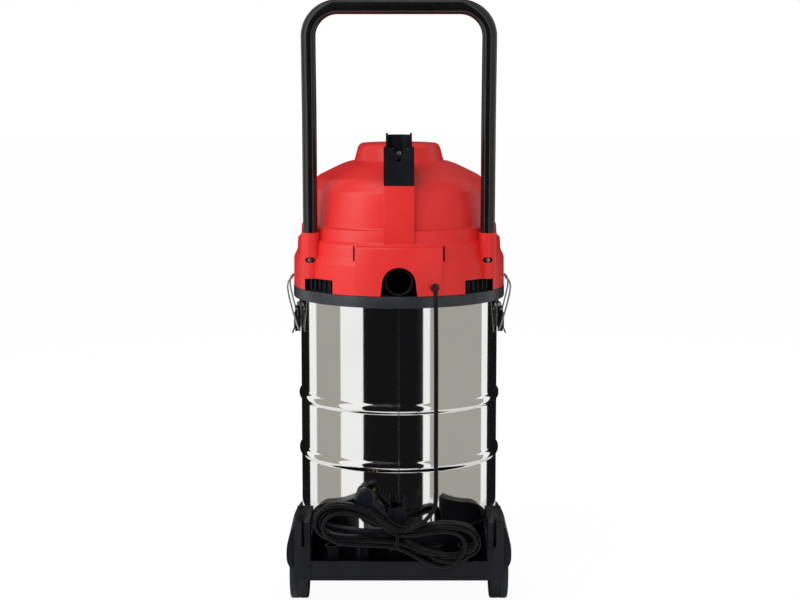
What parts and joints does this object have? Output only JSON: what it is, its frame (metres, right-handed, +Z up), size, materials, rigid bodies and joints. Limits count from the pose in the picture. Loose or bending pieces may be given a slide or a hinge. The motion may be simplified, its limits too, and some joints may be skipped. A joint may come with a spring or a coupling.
{
  "type": "shop vacuum",
  "caption": "Wheeled shop vacuum: polished steel drum, domed red motor head with side latches, bent push handle, and a dolly with a rear accessory tray.",
  "frame": {"origin": "on the floor under the drum's axis, which is also the middle of the footprint", "axes": "+Z up, -Y towards the front with the hose inlet and the switch, +Y towards the rear with the handle and the tray, +X to the vacuum's side that is on the left when it is seen from behind"},
  "size_m": [0.3968, 0.4783, 1.0327],
  "materials": {
    "polished_steel": "mirror polished",
    "zinc_steel": "satin zinc plate",
    "red_plastic": "satin moulded",
    "black_plastic": "fine moulded grain",
    "band_plastic": "satin moulded",
    "wheel_plastic": "fine moulded grain",
    "black_enamel": "gloss",
    "caster_tyre": "matte",
    "seal_rubber": "matte",
    "cord_rubber": "satin",
    "laminations": "satin",
    "float_plastic": "satin",
    "filter_paper": "pleated paper"
  },
  "bodies": {
    "tank": {"tank_shell": "polished_steel", "inlet_flange": "black_plastic", "inlet_gasket": "seal_rubber", "inlet_deflector": "black_plastic", "inlet_screw_1": "zinc_steel", "inlet_screw_2": "zinc_steel", "inlet_screw_3": "zinc_steel", "inlet_screw_4": "zinc_steel", "latch_bracket_right": "zinc_steel", "latch_pin_right": "zinc_steel", "latch_bracket_left": "zinc_steel", "latch_pin_left": "zinc_steel", "dolly_base": "black_plastic", "rear_tray": "black_plastic", "accessory_pegs_right": "black_plastic", "accessory_pegs_left": "black_plastic", "tube_hook": "black_plastic", "rear_axle": "zinc_steel"},
    "head": {"head_base": "band_plastic", "head_seal": "seal_rubber", "head_cover": "red_plastic", "vent_grille_right": "black_plastic", "vent_grille_left": "black_plastic", "blower_port": "black_plastic", "tube_holster": "black_plastic", "holster_screw": "zinc_steel", "handle_tube": "black_enamel", "handle_screw_right": "zinc_steel", "handle_screw_left": "zinc_steel", "switch_housing": "black_plastic", "fan_housing": "black_plastic", "motor_mount": "seal_rubber", "motor_housing": "black_plastic", "motor_stator": "laminations", "float_cage": "black_plastic", "strain_relief": "cord_rubber", "cord": "cord_rubber", "cord_hank": "cord_rubber", "cord_tie": "cord_rubber", "plug": "black_plastic"},
    "rocker": {"switch_rocker": "red_plastic"},
    "rotor": {"motor_rotor": "laminations", "impeller": "zinc_steel"},
    "float": {"float": "float_plastic"},
    "filter": {"cartridge_filter": "filter_paper", "filter_retainer": "black_plastic"},
    "lever_right": {"latch_lever_right": "black_enamel"},
    "bail_right": {"latch_bail_right": "zinc_steel"},
    "lever_left": {"latch_lever_left": "black_enamel"},
    "bail_left": {"latch_bail_left": "zinc_steel"},
    "wheel_right": {"rear_wheel_right": "wheel_plastic", "hub_cap_right": "band_plastic"},
    "wheel_left": {"rear_wheel_left": "wheel_plastic", "hub_cap_left": "band_plastic"},
    "fork_right": {"caster_fork_right": "black_plastic", "caster_axle_right": "zinc_steel"},
    "roller_right": {"caster_wheel_right": "caster_tyre"},
    "fork_left": {"caster_fork_left": "black_plastic", "caster_axle_left": "zinc_steel"},
    "roller_left": {"caster_wheel_left": "caster_tyre"}
  },
  "joints": [
    {"name": "head_lift", "type": "slide", "parent": "tank", "child": "head", "axis": [0, 0, 1], "range_m": [0, 0.36]},
    {"name": "switch", "type": "hinge", "parent": "head", "child": "rocker", "pos_m": [0, -0.184, 0.588], "axis": [1, 0, 0], "range_deg": [-16, 0]},
    {"name": "motor_spin", "type": "hinge", "parent": "head", "child": "rotor", "pos_m": [0, 0, 0.6], "axis": [0, 0, 1], "continuous": true},
    {"name": "float_rise", "type": "slide", "parent": "head", "child": "float", "axis": [0, 0, 1], "range_m": [0, 0.045]},
    {"name": "filter_pull", "type": "slide", "parent": "head", "child": "filter", "axis": [0, 0, -1], "range_m": [0, 0.13]},
    {"name": "latch_right", "type": "hinge", "parent": "tank", "child": "lever_right", "pos_m": [0.1815, 0, 0.495], "axis": [0, -1, 0], "range_deg": [0, 150]},
    {"name": "bail_right_swing", "type": "hinge", "parent": "lever_right", "child": "bail_right", "pos_m": [0.178, 0, 0.459], "axis": [0, -1, 0], "range_deg": [-175.5, 0]},
    {"name": "wheel_right_roll", "type": "hinge", "parent": "tank", "child": "wheel_right", "pos_m": [0.1725, 0.13, 0.06], "axis": [1, 0, 0], "continuous": true},
    {"name": "caster_right_swivel", "type": "hinge", "parent": "tank", "child": "fork_right", "pos_m": [0.11, -0.105, 0.052], "axis": [0, 0, 1], "continuous": true},
    {"name": "caster_right_roll", "type": "hinge", "parent": "fork_right", "child": "roller_right", "pos_m": [0.11, -0.087, 0.024], "axis": [1, 0, 0], "continuous": true},
    {"name": "latch_left", "type": "hinge", "parent": "tank", "child": "lever_left", "pos_m": [-0.1815, 0, 0.495], "axis": [0, 1, 0], "range_deg": [0, 150]},
    {"name": "bail_left_swing", "type": "hinge", "parent": "lever_left", "child": "bail_left", "pos_m": [-0.178, 0, 0.459], "axis": [0, 1, 0], "range_deg": [-175.5, 0]},
    {"name": "wheel_left_roll", "type": "hinge", "parent": "tank", "child": "wheel_left", "pos_m": [-0.1725, 0.13, 0.06], "axis": [1, 0, 0], "continuous": true},
    {"name": "caster_left_swivel", "type": "hinge", "parent": "tank", "child": "fork_left", "pos_m": [-0.11, -0.105, 0.052], "axis": [0, 0, 1], "continuous": true},
    {"name": "caster_left_roll", "type": "hinge", "parent": "fork_left", "child": "roller_left", "pos_m": [-0.11, -0.087, 0.024], "axis": [1, 0, 0], "continuous": true}
  ],
  "couplings": [
    {"joint": "bail_right_swing", "follows": "latch_right", "ratio": -1.1667},
    {"joint": "bail_left_swing", "follows": "latch_left", "ratio": -1.1667}
  ]
}
